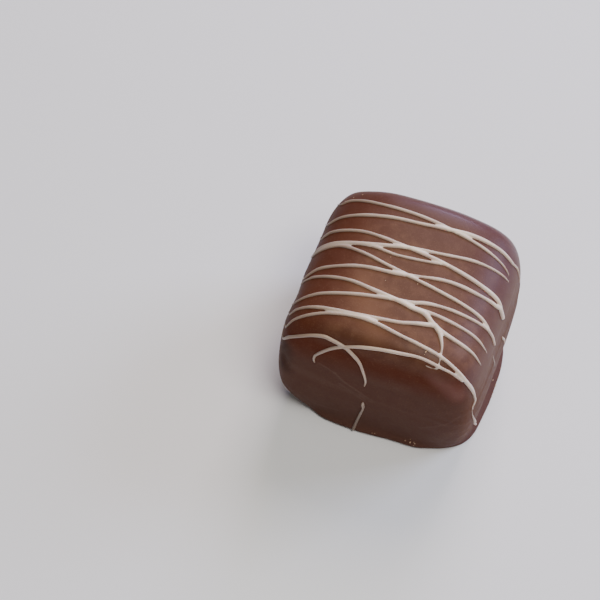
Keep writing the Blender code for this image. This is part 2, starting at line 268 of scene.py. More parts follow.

# %% [markdown]
# ## The drizzle's routes
#
# Thrown drizzle falls in loose zigzags, and each strand follows the coat wherever it lands. So the
# routes are drawn flat, on a sheet that is folded down over the four sides, and are pressed from there
# on to the coat. Each place on a route is (across, along, width) in millimetres: past
# the edge of the top it hangs that far down a side. Widths change along a strand, because the hand
# slows and speeds up, and a strand that snapped off ends in a fine tip.

# %% Routes
STRANDS = {
    "far_thin": [(-22.5, 13.2, 0.18), (-19.5, 12.4, 0.28), (-16.3, 11.7, 0.42), (-14, 11.8, 0.5),
                 (-8, 11, 0.55), (-1.4, 10.6, 0.58), (4.6, 9.8, 0.6), (10, 9.2, 0.55),
                 (15.5, 8.9, 0.38), (18.3, 8.4, 0.2)],
    "far_thick": [(-24.5, 9, 0.2), (-20.8, 7.5, 0.32), (-17.8, 7.1, 0.45), (-13.8, 7.7, 0.52),
                  (-5.9, 8.7, 0.62), (0.6, 9.2, 0.6), (7.6, 10.3, 0.78), (12.6, 10.8, 0.7),
                  (17.2, 11.4, 0.55), (21, 11.3, 0.42), (24.5, 11, 0.3), (27, 10.7, 0.18)],
    "long_slant": [(-24.5, 6.3, 0.2), (-21.5, 4.7, 0.3), (-18.9, 3.9, 0.4), (-16.4, 4.2, 0.48),
                   (-14.9, 4.5, 0.52), (-8.4, 4.8, 0.56), (-1.4, 4, 0.6), (5.1, 3.3, 0.7),
                   (12.6, 2.5, 0.74), (17.6, 2.4, 0.75), (20.7, 1.6, 0.8), (23.4, 1.3, 0.72)],
    "bundle_far": [(-27, 3, 0.2), (-23.5, 1.2, 0.3), (-20.5, 0.4, 0.42), (-17.2, 1, 0.55),
                   (-14, 1.7, 0.62), (-7, 2.6, 0.72), (-1.4, 3.8, 0.65), (4.5, 4.8, 0.55),
                   (9.7, 6, 0.55), (15.5, 7.1, 0.42), (19.5, 7.3, 0.2)],
    "bundle_middle": [(-19, 0.5, 0.3), (-15.2, 1.1, 0.5), (-11.5, 1.8, 0.55), (-7, 2.4, 0.6),
                      (-2, 2, 0.48), (3.1, 2.6, 0.5), (5.8, 3.3, 0.5)],
    "bundle_near": [(-23, 1.2, 0.22), (-19, 0.1, 0.4), (-12, 1.3, 0.52), (-7.6, 0.8, 0.58),
                    (-3.2, -0.2, 0.55), (2, -1.2, 0.62), (7.5, -2, 0.6), (14.6, -2.9, 0.6),
                    (16.8, -3.5, 0.62), (18.3, -3.7, 0.58), (21.9, -3.5, 0.55), (24.7, -3.4, 0.42)],
    "middle": [(-22.5, -3.2, 0.2), (-19.3, -5, 0.3), (-16.9, -5.3, 0.45), (-14.6, -4, 0.52),
               (-12.9, -3.4, 0.56), (-6.6, -1.8, 0.6), (-1.1, -1.3, 0.7), (3, -0.4, 0.5),
               (7.5, 0.5, 0.66), (12.8, 0.7, 0.62), (17, 1.3, 0.65), (19.4, 1.6, 0.6)],
    "forked": [(-23, -4.5, 0.2), (-19.7, -6.1, 0.3), (-17.5, -6.3, 0.4), (-15.7, -6, 0.42),
               (-13.9, -5.5, 0.5), (-8, -4.9, 0.6), (-3.3, -5.4, 0.68), (1.6, -6, 0.78),
               (3.3, -6.4, 0.72), (5.5, -6.6, 0.8), (7.9, -8.1, 0.82), (11.3, -9, 0.68),
               (16.1, -9.8, 0.5), (19, -9.8, 0.34), (21.8, -9.3, 0.18)],
    "fork_far": [(-22.5, -9, 0.2), (-19.2, -10.8, 0.3), (-17.2, -11.2, 0.38), (-15.2, -10.3, 0.45),
                 (-12.5, -9, 0.54), (-10.8, -8.4, 0.58), (-5.9, -7.1, 0.6), (-0.4, -6, 0.62),
                 (2.8, -5.5, 0.66), (4.9, -4.8, 0.64), (8.1, -4.3, 0.58), (13.3, -4.1, 0.55),
                 (17.1, -3.9, 0.5)],
    "fork_near": [(0, -5.9, 0.55), (3.5, -6.2, 0.58), (6.8, -6.1, 0.6), (11.3, -6.4, 0.58),
                  (15.9, -6.9, 0.48), (18.6, -7, 0.36), (22.3, -6.5, 0.18)],
    "near_short": [(-22, -11, 0.2), (-18.9, -13, 0.28), (-16.9, -13.5, 0.36), (-15.4, -12.6, 0.45),
                   (-11.6, -11.4, 0.6), (-5, -10.6, 0.65), (-0.1, -9.9, 0.6), (2.4, -9.5, 0.6),
                   (4.3, -8.9, 0.66), (7.9, -7.9, 0.8)],
    "near_long": [(-22.5, -12.6, 0.2), (-19.6, -15.4, 0.28), (-17.4, -17.2, 0.34), (-16.6, -15.9, 0.4),
                  (-15.1, -14.5, 0.45), (-11.1, -12.6, 0.56), (-9.2, -11.9, 0.5), (-7.2, -11.4, 0.5),
                  (-5, -11, 0.55), (-2, -10.8, 0.72), (3.1, -11.6, 0.55), (6.1, -12, 0.6),
                  (10.3, -12.7, 0.6), (13.5, -13.7, 0.58), (15.9, -14.6, 0.66), (18.5, -14.7, 0.72),
                  (23.2, -13.4, 0.66), (26.2, -12.7, 0.5), (28.3, -12.4, 0.45), (29.5, -13.1, 0.3)],
    "corner_drip": [(29.5, -13.1, 0.3), (31.2, -13, 0.2), (33.9, -12.3, 0.32), (38.6, -10.4, 0.55),
                    (44.9, -7.7, 0.5)],
    "rim": [(-8.9, -25.4, 0.25), (-9.1, -24.1, 0.42), (-8.6, -22.5, 0.52), (-6.4, -19.2, 0.58),
            (-3.4, -16.6, 0.56), (0.2, -15.1, 0.62), (4.2, -14.5, 0.58), (7.7, -14.1, 0.52),
            (12.1, -14.6, 0.5), (13.8, -14.8, 0.46), (15.1, -15.1, 0.46), (16.7, -15.4, 0.48)],
    "loop": [(-23.5, -14.2, 0.2), (-20.4, -18.6, 0.3), (-16.1, -22.2, 0.45), (-14.1, -20.4, 0.55),
             (-11.1, -17.9, 0.6), (-8.9, -16.5, 0.66), (-7.5, -16.5, 0.66), (-4.7, -17.6, 0.66),
             (-2.7, -19.6, 0.62), (-1.6, -21.6, 0.55), (-0.6, -25.8, 0.42), (-0.7, -28, 0.22)],
    "loop_tail": [(-0.7, -33.2, 0.22), (-0.7, -34.2, 0.64), (-0.7, -35.9, 0.45), (-1.1, -38.4, 0.5),
                  (-1.6, -41.4, 0.52), (-2.1, -44.3, 0.55)],
    "drip": [(7.6, -7.8, 0.8), (8.3, -8.4, 0.85), (9, -9.1, 0.75), (10, -11, 0.48), (10.4, -12.6, 0.36),
             (10.6, -13.3, 0.24), (10.8, -14.1, 0.21), (11, -14.9, 0.21)],
    "curl": [(8.8, -15, 0.19), (9.3, -15.1, 0.27), (9.8, -15.1, 0.23), (10.3, -15.1, 0.19), (11, -15, 0.21)],
    "side_dab": [(28.4, 0.5, 0.28), (29.6, 0.9, 0.5), (31.5, 1.9, 0.4), (34, 2.8, 0.2)],
    "side_wisp": [(26.2, -4.5, 0.2), (29.1, -3.8, 0.24), (33, -2.5, 0.2)],
}
STRAND_STEP = 0.3 * MM
print("strands:", len(STRANDS))

# %% Pressing a place on the folded sheet on to the coat
# It is pressed towards a point that stands this share of the way out from the bite's upright axis, at
# this share of its height
CORE_OUT, CORE_UP = 0.5, 0.45
bpy.context.view_layer.update()
surface = BVHTree.FromObject(coat, bpy.context.evaluated_depsgraph_get())


def on_coat(across, along):
    """The point of the coat under a place on the folded sheet, and the way out from it, in metres."""
    half_width, half_length = WIDTH / 2, LENGTH / 2
    across, along = across * MM, along * MM
    drop = max(0.0, abs(across) - half_width) + max(0.0, abs(along) - half_length)
    sheet = Vector((max(-half_width, min(half_width, across)), max(-half_length, min(half_length, along)),
                    HEIGHT - drop))
    core = Vector((CORE_OUT * sheet.x, CORE_OUT * sheet.y, CORE_UP * HEIGHT))
    outside = core + 2 * (sheet - core) + TO_MIDDLE
    point, normal, _, _ = surface.ray_cast(outside, core + TO_MIDDLE - outside)
    return point, normal


print("middle of the top, mm:", [round(value / MM, 2) for value in on_coat(0, 0)[0]])

# %% Walking along a route
# A sheet has a sharp fold, and a strand drawn straight across it would get a kink there. So only the
# route's places are pressed on to the coat, and the smooth curve is drawn through them in the open.
CURVE_PIECES = 24


def between(before, start, end, after, share):
    """A place on the smooth curve from start to end, a share of the way along it."""
    return 0.5 * (2 * start + (end - before) * share
                  + (2 * before - 5 * start + 4 * end - after) * share ** 2
                  + (3 * start - before - 3 * end + after) * share ** 3)


def route(places):
    """Evenly spaced steps along a smooth curve over the coat: each a point and the strand's width."""
    knots = [Vector((*on_coat(across, along)[0], width * MM)) for across, along, width in places]
    knots = [2 * knots[0] - knots[1]] + knots + [2 * knots[-1] - knots[-2]]
    fine = [between(*knots[i:i + 4], j / CURVE_PIECES)
            for i in range(len(knots) - 3) for j in range(CURVE_PIECES)]
    fine.append(knots[-2])
    walked = np.cumsum([0.0] + [(b - a).length for a, b in zip(fine, fine[1:])])
    wanted = np.linspace(0.0, walked[-1], max(3, round(walked[-1] / STRAND_STEP)))
    columns = [np.interp(wanted, walked, [step[i] for step in fine]) for i in range(4)]
    return [Vector(step) for step in zip(*columns)]


print("steps along the rim strand:", len(route(STRANDS["rim"])))

# %% [markdown]
# ## Strands that melt into each other
#
# Each strand is a curve with a round bevel, lying on the coat, thicker and thinner along its route. Wet
# coating doesn't cross like wire, though: where two strands meet they run together and a web fills the
# sharp corner between them. A union would leave a crease there. So the tubes are joined, remeshed into
# one skin, swollen and remeshed again, which closes the corners, and shrunk back to their size.

# %% Drawing each strand as a tube
# How much of its half width a strand's middle stands off the coat
STRAND_LIFT = 0.15
# How much its width waves, over what length, and how far on the next strand's waves start
WIDTH_WAVE, WIDTH_WAVE_APART, NEXT_WAVES = 0.14, 2.6 * MM, 5.0
# Every step of every strand: which strand it is, where it is, and how wide the strand is there
laid = []


def draw_strand(name, places, number):
    """One strand as a curve with a bevel, lying on the coat."""
    steps = route(places)
    curve = bpy.data.curves.new(name, "CURVE")
    curve.dimensions = "3D"
    curve.bevel_depth = 1.0
    curve.bevel_resolution = 3
    curve.use_fill_caps = True
    spline = curve.splines.new("POLY")
    spline.points.add(len(steps) - 1)
    for i, step in enumerate(steps):
        wave = noise.noise(Vector((i * STRAND_STEP / WIDTH_WAVE_APART, number * NEXT_WAVES, 0.0)))
        radius = step.w / 2 * (1 + WIDTH_WAVE * wave)
        point, normal, _, _ = surface.find_nearest(step.xyz)
        spline.points[i].co = (*(point + normal * STRAND_LIFT * radius), 1.0)
        spline.points[i].radius = radius
        laid.append((name, point, 2 * radius / MM))
    drawn = bpy.data.objects.new(name, curve)
    bpy.context.scene.collection.objects.link(drawn)
    return drawn


tubes = [draw_strand(name, places, number) for number, (name, places) in enumerate(STRANDS.items())]
print("steps laid:", len(laid))

# %% Joining the tubes
def select_together(things):
    """Selects several objects, the first of them active."""
    only(things[0])
    for thing in things:
        thing.select_set(True)


select_together(tubes)
bpy.ops.object.convert(target="MESH")
bpy.ops.object.join()
drizzle = bpy.context.object
drizzle.name = "white_drizzle"
print("tubes joined:", triangles(drizzle), "triangles")

# %% Running the strands together
FINE_GRID = 0.08 * MM
# How far the skin is swollen to close the corners, and how much of that it keeps
WEB, KEPT = 0.085 * MM, 0.01 * MM
# Each skin in turn: how often it is smoothed, and how far it is then swollen
SKINS = ((2, WEB), (2, KEPT - WEB), (3, None))
SMOOTHING = 0.5


def add_remesh(thing):
    """One closed skin over all that the object holds."""
    remesh = thing.modifiers.new("remesh", "REMESH")
    remesh.mode = "VOXEL"
    remesh.voxel_size = FINE_GRID
    remesh.use_smooth_shade = True


def add_swelling(thing, distance):
    """Moves the skin out along its normals, or in when the distance is below zero."""
    swelling = thing.modifiers.new("swell", "DISPLACE")
    swelling.strength = distance
    swelling.mid_level = 0.0


def add_smoothing(thing, times):
    """Evens out the steps that the grid leaves in the skin."""
    smooth = thing.modifiers.new("smooth", "SMOOTH")
    smooth.factor = SMOOTHING
    smooth.iterations = times


for times, distance in SKINS:
    add_remesh(drizzle)
    add_smoothing(drizzle, times)
    if distance:
        add_swelling(drizzle, distance)
    apply_all(drizzle)
print("drizzle triangles:", triangles(drizzle))

# %% Thinning the drizzle's mesh
MOST_TRIANGLES = 190_000
thin = drizzle.modifiers.new("thin", "DECIMATE")
thin.ratio = min(1.0, MOST_TRIANGLES / triangles(drizzle))
apply_all(drizzle)
bpy.ops.object.shade_smooth()
print("drizzle triangles, thinned:", triangles(drizzle))

# %% [markdown]
# ## How thick the drizzle lies
#
# A thin thread of white coating lets the brown show through, and where strands have run together it is
# at its palest. The finish needs to know that, so each corner of the mesh is given the width of the
# strand that it belongs to, with half the width of any other strand that passes close by.

# %% Thickness as an attribute
# How close by another strand has to pass, and how much of its width counts
CLOSE_BY, SHARE_OF_OTHERS = 0.55 * MM, 0.5
steps = KDTree(len(laid))
for i, (_, point, _) in enumerate(laid):
    steps.insert(point, i)
steps.balance()
thickness = []
for corner in drizzle.data.vertices:
    widths = {}
    for _, i, _ in steps.find_range(corner.co, CLOSE_BY):
        widths[laid[i][0]] = max(laid[i][2], widths.get(laid[i][0], 0.0))
    if not widths:
        widths["nearest"] = laid[steps.find(corner.co)[1]][2]
    widest = max(widths.values())
    thickness.append(widest + SHARE_OF_OTHERS * (sum(widths.values()) - widest))
drizzle.data.attributes.new("thickness", "FLOAT", "POINT").data.foreach_set("value", thickness)
print("drizzle thickness, mm:", round(min(thickness), 2), "to", round(max(thickness), 2))

# %% [markdown]
# ## Crumbs
#
# A bite that has been boxed and handled carries crumbs: they gather along the foot, and a few sit on the
# top. They could be copies of one crumb, but so near the eye the copies would show. So each starts as a
# small ball of few faces and is pushed about with a seed of its own until it is angular. It is
# pressed a little into the coat, and all are joined.

# %% Where the crumbs lie: across, along, size and how many, in millimetres
CRUMB_SPOTS = [
    (44.6, 1.0, 0.34, 3), (44.6, 2.5, 0.22, 2), (44.6, -0.4, 0.22, 2), (44.6, -1.2, 0.26, 3),
    (44.7, 4.4, 0.2, 2), (8.1, -44.7, 0.34, 3), (9.0, -44.8, 0.24, 3), (7.2, -44.6, 0.2, 2),
    (1.2, -44.1, 0.2, 2),
    (-15.8, 12.4, 0.16, 4), (-14.2, 13.0, 0.14, 3), (-12.6, 13.6, 0.13, 2),
    (7.9, -12.9, 0.34, 5), (-2.9, 1.3, 0.14, 1), (2.7, -1.9, 0.2, 1), (-2.2, -3.1, 0.12, 1),
]
# How far they scatter across and along, the seed, and the sizes of the ones round the first
CRUMB_SCATTER, CRUMB_SEED, SMALLER = (0.135, 0.9), 11, (0.4, 0.8)
# How much a crumb is stretched each way, how rough it is, and how high its middle stands, as shares
CRUMB_STRETCH = ((0.7, 1.3), (0.6, 1.0), (0.5, 0.8))
CRUMB_ROUGHENING, CRUMB_ROUGH_SCALE, CRUMB_STAND = 0.5, 1.6, 0.175
print("crumbs wanted:", sum(count for *_, count in CRUMB_SPOTS))

# %% Making one crumb
def make_crumb(across, along, size, seed):
    """One angular crumb, pressed a little into the coat."""
    rng = random.Random(seed)
    point, normal = on_coat(across, along)
    bpy.ops.object.select_all(action="DESELECT")
    bpy.ops.mesh.primitive_ico_sphere_add(subdivisions=2, radius=size * MM / 2)
    crumb = bpy.context.object
    stretch = Vector([rng.uniform(*limits) for limits in CRUMB_STRETCH])
    for corner in crumb.data.vertices:
        bumps = noise.noise(corner.co / (size * MM) * CRUMB_ROUGH_SCALE + Vector((seed, 0, 0)))
        corner.co = corner.co * stretch * (1 + CRUMB_ROUGHENING * bumps)
    spin = Matrix.Rotation(rng.uniform(0, math.tau), 4, "Z")
    turn = normal.to_track_quat("Z", "Y").to_matrix().to_4x4() @ spin
    place = point + normal * size * MM * CRUMB_STAND
    crumb.data.transform(Matrix.Translation(place) @ turn)
    return crumb


# %% Scattering the crumbs
scatter = random.Random(CRUMB_SEED)
crumbs = []
for number, (across, along, size, count) in enumerate(CRUMB_SPOTS):
    crumbs.append(make_crumb(across, along, size, number * 10))
    for i in range(1, count):
        off = [scatter.gauss(0, spread) for spread in CRUMB_SCATTER]
        share = scatter.uniform(*SMALLER)
        crumbs.append(make_crumb(across + off[0], along + off[1], size * share, number * 10 + i))
select_together(crumbs)
bpy.ops.object.join()
crumb_piece = bpy.context.object
crumb_piece.name = "crumbs"
bpy.ops.object.shade_flat()
print("crumbs:", len(crumbs), "with", triangles(crumb_piece), "triangles")

# %% [markdown]
# ## Finishes
#
# Milk chocolate is a satin brown: the colour drifts from warm to reddish, and where cocoa butter has
# risen it carries a faint grey bloom. The white coating and the crumbs have the same kind of drift in
# other colours. The drift could be built anew in each material, but then each change to it would have to
# be made three times. So one node group, "mottle", makes the drifting patches and the fine flecks, and
# each material gives it its own sizes.

# %% The mottle group
# For the patches and for the flecks: the noise's detail, and the stretch of it that is spread from 0 to 1
MOTTLE_NOISE = {"Patch": (3.0, 0.36, 0.64), "Fleck": (4.0, 0.3, 0.7)}
MOTTLE_OUTPUTS = {"Patch": "Patches", "Fleck": "Flecks"}


def add_sockets(group, in_out, kind, *names):
    """Gives a node group inputs or outputs of one kind."""
    for name in names:
        group.interface.new_socket(name, in_out=in_out, socket_type=kind)


def mottle_group():
    """Patches and flecks that drift over a surface, each from 0 to 1."""
    group = bpy.data.node_groups.new("mottle", "ShaderNodeTree")
    add_sockets(group, "INPUT", "NodeSocketVector", "Place")
    add_sockets(group, "INPUT", "NodeSocketFloat", "Patch Scale", "Fleck Scale")
    add_sockets(group, "OUTPUT", "NodeSocketFloat", "Patches", "Flecks")
    nodes, links = group.nodes, group.links
    given, made = nodes.new("NodeGroupInput"), nodes.new("NodeGroupOutput")
    for name, (detail, low, high) in MOTTLE_NOISE.items():
        speckle = nodes.new("ShaderNodeTexNoise")
        speckle.inputs["Detail"].default_value = detail
        spread = nodes.new("ShaderNodeMapRange")
        spread.inputs["From Min"].default_value = low
        spread.inputs["From Max"].default_value = high
        links.new(given.outputs["Place"], speckle.inputs["Vector"])
        links.new(given.outputs[name + " Scale"], speckle.inputs["Scale"])
        links.new(speckle.outputs["Fac"], spread.inputs["Value"])
        links.new(spread.outputs["Result"], made.inputs[MOTTLE_OUTPUTS[name]])
    return group


MOTTLE = mottle_group()
print("mottle group:", len(MOTTLE.nodes), "nodes")

# %% [markdown]
# ## Finishes that change from place to place
#
# The coat's colour and gloss also change over it: a painted plum sheen on the shoulder, a dull wall with a
# painted sheen, a red band under the near rim, painted light and shade, and pale smears where it was
# touched. A painted picture could carry all that, but it would have to be wrapped round a form that has no
# seams. A line between two places is enough for each of them. So a second group, "line", says how far
# along such a line a point is, for a change from one side to the other, and how near it is to the line,
# for a streak.

# %% The line group
def line_group():
    """How far along a line between two points a place is, and how near it is to the line, from 0 to 1."""
    group = bpy.data.node_groups.new("line", "ShaderNodeTree")
    add_sockets(group, "INPUT", "NodeSocketVector", "Place", "Start", "End")
    add_sockets(group, "INPUT", "NodeSocketFloat", "Width")
    add_sockets(group, "OUTPUT", "NodeSocketFloat", "Along", "Near")
    nodes, links = group.nodes, group.links
    given, made = nodes.new("NodeGroupInput"), nodes.new("NodeGroupOutput")

    def reckon(kind, operation, *sources):
        node = nodes.new(kind)
        node.operation = operation
        for source, socket in zip(sources, node.inputs):
            links.new(source, socket)
        return node

    start, vector = given.outputs["Start"], "ShaderNodeVectorMath"
    whole = reckon(vector, "SUBTRACT", given.outputs["End"], start).outputs[0]
    there = reckon(vector, "SUBTRACT", given.outputs["Place"], start).outputs[0]
    done = reckon(vector, "DOT_PRODUCT", there, whole).outputs["Value"]
    squared = reckon(vector, "DOT_PRODUCT", whole, whole).outputs["Value"]
    share = reckon("ShaderNodeMath", "DIVIDE", done, squared)
    share.use_clamp = True
    beside = reckon(vector, "SCALE", whole)
    links.new(share.outputs[0], beside.inputs["Scale"])
    away = reckon(vector, "DISTANCE", there, beside.outputs[0]).outputs["Value"]
    fall = nodes.new("ShaderNodeMapRange")
    fall.interpolation_type = "SMOOTHSTEP"
    fall.inputs["From Max"].default_value = 0.0
    links.new(away, fall.inputs["Value"])
    links.new(given.outputs["Width"], fall.inputs["From Min"])
    links.new(share.outputs[0], made.inputs["Along"])
    links.new(fall.outputs["Result"], made.inputs["Near"])
    return group


LINE = line_group()
print("line group:", len(LINE.nodes), "nodes")

# %% [markdown]
# ## Placing and joining nodes
#
# In the shader editor, groups are placed and sockets are joined by hand. In code the same few joins come
# again and again, so each is a helper, which takes the material and gives back what the next step
# reads. Every pattern reads Object coordinates, turned into millimetres, so it sits still on the piece
# from every side.

# %% Placing the groups
def start_material(name):
    """A material, its shader, and the socket that gives Object coordinates in millimetres."""
    made = bpy.data.materials.new(name)
    made.use_nodes = True
    nodes, links = made.node_tree.nodes, made.node_tree.links
    place, to_mm = nodes.new("ShaderNodeTexCoord"), nodes.new("ShaderNodeMapping")
    to_mm.inputs["Scale"].default_value = (1 / MM, 1 / MM, 1 / MM)
    links.new(place.outputs["Object"], to_mm.inputs["Vector"])
    return made, nodes["Principled BSDF"], to_mm.outputs["Vector"]


def place_group(made, place, group, values):
    """Places a group in a material with its own values, and gives back its outputs."""
    node = made.node_tree.nodes.new("ShaderNodeGroup")
    node.node_tree = group
    for name, value in values.items():
        node.inputs[name].default_value = value
    made.node_tree.links.new(place, node.inputs["Place"])
    return node.outputs


def mottle(made, place, patch_scale, fleck_scale):
    """Patches and flecks, each from 0 to 1: the larger the scale, the finer they are."""
    outputs = place_group(made, place, MOTTLE, {"Patch Scale": patch_scale, "Fleck Scale": fleck_scale})
    return outputs["Patches"], outputs["Flecks"]


def line(made, place, start, end, width=1.0):
    """The outputs of the line group for two places and a width in millimetres."""
    return place_group(made, place, LINE, {"Start": start, "End": end, "Width": width})


# %% Joining values and colours
def combine(made, operation, *values):
    """Multiplies values together, or takes the largest of them."""
    result = values[0]
    for value in values[1:]:
        node = made.node_tree.nodes.new("ShaderNodeMath")
        node.operation = operation
        made.node_tree.links.new(result, node.inputs[0])
        made.node_tree.links.new(value, node.inputs[1])
        result = node.outputs[0]
    return result


def remap(made, value, out_low, out_high, low=0.0, high=1.0):
    """Spreads a value from one range over another."""
    node = made.node_tree.nodes.new("ShaderNodeMapRange")
    for name, number in (("From Min", low), ("From Max", high), ("To Min", out_low), ("To Max", out_high)):
        node.inputs[name].default_value = number
    made.node_tree.links.new(value, node.inputs["Value"])
    return node.outputs["Result"]


def mix_colours(made, share, first, second):
    """A colour between two, each a colour or a socket, by a share that changes over the surface."""
    node = made.node_tree.nodes.new("ShaderNodeMix")
    node.data_type = "RGBA"
    made.node_tree.links.new(share, node.inputs["Factor"])
    for name, colour in (("A", first), ("B", second)):
        socket = next(s for s in node.inputs if s.name == name and s.type == "RGBA")
        if isinstance(colour, tuple):
            socket.default_value = (*colour, 1.0)
        else:
            made.node_tree.links.new(colour, socket)
    return next(s for s in node.outputs if s.type == "RGBA")


def bump(made, shader, height, distance, strength):
    """Lets a height change the shading of a surface."""
    node = made.node_tree.nodes.new("ShaderNodeBump")
    node.inputs["Distance"].default_value = distance
    node.inputs["Strength"].default_value = strength
    made.node_tree.links.new(height, node.inputs["Height"])
    made.node_tree.links.new(node.outputs["Normal"], shader.inputs["Normal"])


# %% Masks from lines
def past(made, place, *lines):
    """How far a point has come along each of some lines, multiplied: 1 where it is past them all."""
    return combine(made, "MULTIPLY", *[line(made, place, *ends)["Along"] for ends in lines])


def streak(made, place, start, end, width, share):
    """A share on the line between two places, falling to nothing a width away from it."""
    return remap(made, line(made, place, start, end, width)["Near"], 0.0, share)


# %% [markdown]
# ## The browns of the coat
#
# The edge of the top is a deep brown, and its middle is milkier, partly as painted light, with the edge at
# the left darker as painted shade. The near end has a painted grey sheen, with a red band under its rim
# and a plum patch of painted light at its upper right. The right wall is dull, with a lighter painted
# sheen, and the right shoulder and the far rim carry a painted plum sheen. The pinch at the left of the
# near end is painted dark as a shadow, and the right side of the foot as the wall's shade. Each brown
# could be a material on faces of its own, but then it would stop at a hard edge. So they are laid over
# one another in one material, each under a mask of lines, and where two things have to hold at once
# their masks are multiplied.

# %% The browns
# The edge of the top is deep and reddish by turns, and its middle milky with paler spots; the lighter middle
# is partly painted light, and the deeper edge at the left painted shade
DEEP_BROWN, RED_BROWN = (0.090, 0.0275, 0.0138), (0.079, 0.0230, 0.0124)
MILK_BROWN, PALE_BROWN = (0.096, 0.0345, 0.0172), (0.152, 0.063, 0.030)
# The near end has a painted grey sheen low down, is red under its rim without it, and has a plum patch of
# painted light
NEAR_SHEEN_BROWN, NEAR_RED, NEAR_PAINTED_LIGHT = (0.092, 0.040, 0.029), (0.092, 0.022, 0.010), (0.165, 0.072, 0.060)
# The right shoulder and the far rim carry a painted plum sheen, and the dull right wall a lighter painted
# sheen
PLUM_SHEEN_BROWN, WALL_SHEEN_BROWN = (0.082, 0.028, 0.029), (0.104, 0.043, 0.026)
# The pinch at the left of the near end is painted dark as a shadow, and the right side of the foot is
# painted cooler than its wall as the wall's shade
PINCH_SHADOW_BROWN, FOOT_SHADE_BROWN = (0.045, 0.014, 0.008), (0.095, 0.042, 0.036)
# Scales of the slow mottle and of the fine one, each for its patches and its flecks
SLOW, FINE = (0.16, 1.1), (0.55, 6.0)
# Pale spots in the middle start at this much of the fine mottle, and reach this share
SPOTS_FROM, SPOTS_SHARE = 0.35, 0.5

# %% The lines that they change along, each from a place to a place, in millimetres
# Off the near end on to the walls, and on to the top
NEAR_TO_WALLS, NEAR_TO_TOP = ((0, -13.8, 0), (0, -12.3, 0)), ((0, -15.3, 24.5), (0, -13.6, 28.0))
# Up the near end to its red band
UP_NEAR_END = ((0, 0, 18.5), (0, 0, 23.2))
# Up the walls to the shoulders, out to the right shoulder, and out from the left side
UP_WALLS, TO_RIGHT, FROM_LEFT = ((0, 0, 17), (0, 0, 25)), ((6, 0, 0), (14, 0, 0)), ((-17, 0, 0), (-7, 0, 0))
# Back to the far rim, and rightwards along it
TO_FAR_RIM, ALONG_FAR_RIM = ((0, 10.5, 0), (0, 14, 0)), ((-7, 0, 0), (2, 0, 0))
# In to the middle of the top from the left, the right and the far side; the darker edge at the left is
# painted shade
MIDDLE_FADES = [((-11, 0, 0), (-6, 0, 0)), ((18, 6, 0), (8, -4, 0)), ((0, 12, 0), (0, 5, 0))]
# Out to the right wall, and down it, where its sheen is painted
TO_WALL, DOWN_WALL = ((14.5, 0, 0), (15.7, 0, 0)), ((0, 0, 25), (0, 0, 21))
# Out to the right side of the foot, and down to it, where the wall's shade is painted
TO_FOOT, DOWN_TO_FOOT = ((13, 0, 0), (15.5, 0, 0)), ((0, 0, 3.2), (0, 0, 2.0))

# %% Streaks of another brown: two places and a width in millimetres, and a share
# A plum patch of painted light at the upper right of the near end, and the painted shadow at the pinch on
# its left
PAINTED_LIGHT_PATCH = ((9.5, -14.3, 25.8), (13.8, -14.2, 21.6), 2.6, 0.8)
PINCH = ((-14.8, -14.9, 20.0), (-15.0, -15.0, 14.0), 2.8, 0.9)
# A darker drift over the top, right of its middle, and a paler one of painted light on the left, towards the
# near rim
DARK_DRIFT = ((2.0, 7.0, 28.5), (4.5, -2.0, 28.5), 5.0, 0.45)
PAINTED_LIGHT_DRIFT = ((-6.2, -4.5, 28.8), (-0.8, -11.8, 28.8), 4.6, 0.9)


# %% Where on the coat a point is
def coat_masks(made, place):
    """Shares from 0 to 1: off the near end, on the shoulders and the top, and on the far rim."""
    off_near_end = combine(made, "MAXIMUM", past(made, place, NEAR_TO_WALLS), past(made, place, NEAR_TO_TOP))
    on_top = combine(made, "MULTIPLY", off_near_end, past(made, place, UP_WALLS))
    return off_near_end, on_top, past(made, place, TO_FAR_RIM, ALONG_FAR_RIM, UP_WALLS)


# %% Brown of the near end and the edge
def near_end_brown(made, place):
    """A painted grey sheen low down and red under the rim, with the plum patch of painted light."""
    brown = mix_colours(made, past(made, place, UP_NEAR_END), NEAR_SHEEN_BROWN, NEAR_RED)
    return mix_colours(made, streak(made, place, *PAINTED_LIGHT_PATCH), brown, NEAR_PAINTED_LIGHT)


def edge_brown(made, place, patches, masks):
    """Deep and reddish by turns, with the near end's brown, and a painted plum sheen on the right shoulder
    and the far rim.
    """
    off_near_end, on_top, far_rim = masks
    brown = mix_colours(made, patches, DEEP_BROWN, RED_BROWN)
    brown = mix_colours(made, off_near_end, near_end_brown(made, place), brown)
    shoulder = combine(made, "MULTIPLY", past(made, place, TO_RIGHT), on_top)
    return mix_colours(made, combine(made, "MAXIMUM", shoulder, far_rim), brown, PLUM_SHEEN_BROWN)


# %% Brown of the middle, the wall, the pinch and the foot
def add_middle(made, place, brown, patches):
    """Lays the milkier brown, partly painted light, over the middle of the top, with a paler drift of
    painted light.
    """
    spots = remap(made, patches, 0.0, SPOTS_SHARE, low=SPOTS_FROM)
    milky = mix_colours(made, spots, MILK_BROWN, PALE_BROWN)
    milky = mix_colours(made, streak(made, place, *PAINTED_LIGHT_DRIFT), milky, PALE_BROWN)
    inside = past(made, place, NEAR_TO_TOP, *MIDDLE_FADES)
    off_drift = remap(made, streak(made, place, *DARK_DRIFT), 1.0, 0.0)
    return mix_colours(made, combine(made, "MULTIPLY", inside, off_drift), brown, milky)


def add_wall_and_foot(made, place, brown):
    """Lays down the dull right wall with its painted sheen, the pinch's painted shadow and the painted shade
    on the right side of the foot.
    """
    brown = mix_colours(made, past(made, place, TO_WALL, DOWN_WALL), brown, WALL_SHEEN_BROWN)
    brown = mix_colours(made, streak(made, place, *PINCH), brown, PINCH_SHADOW_BROWN)
    return mix_colours(made, past(made, place, TO_FOOT, DOWN_TO_FOOT), brown, FOOT_SHADE_BROWN)
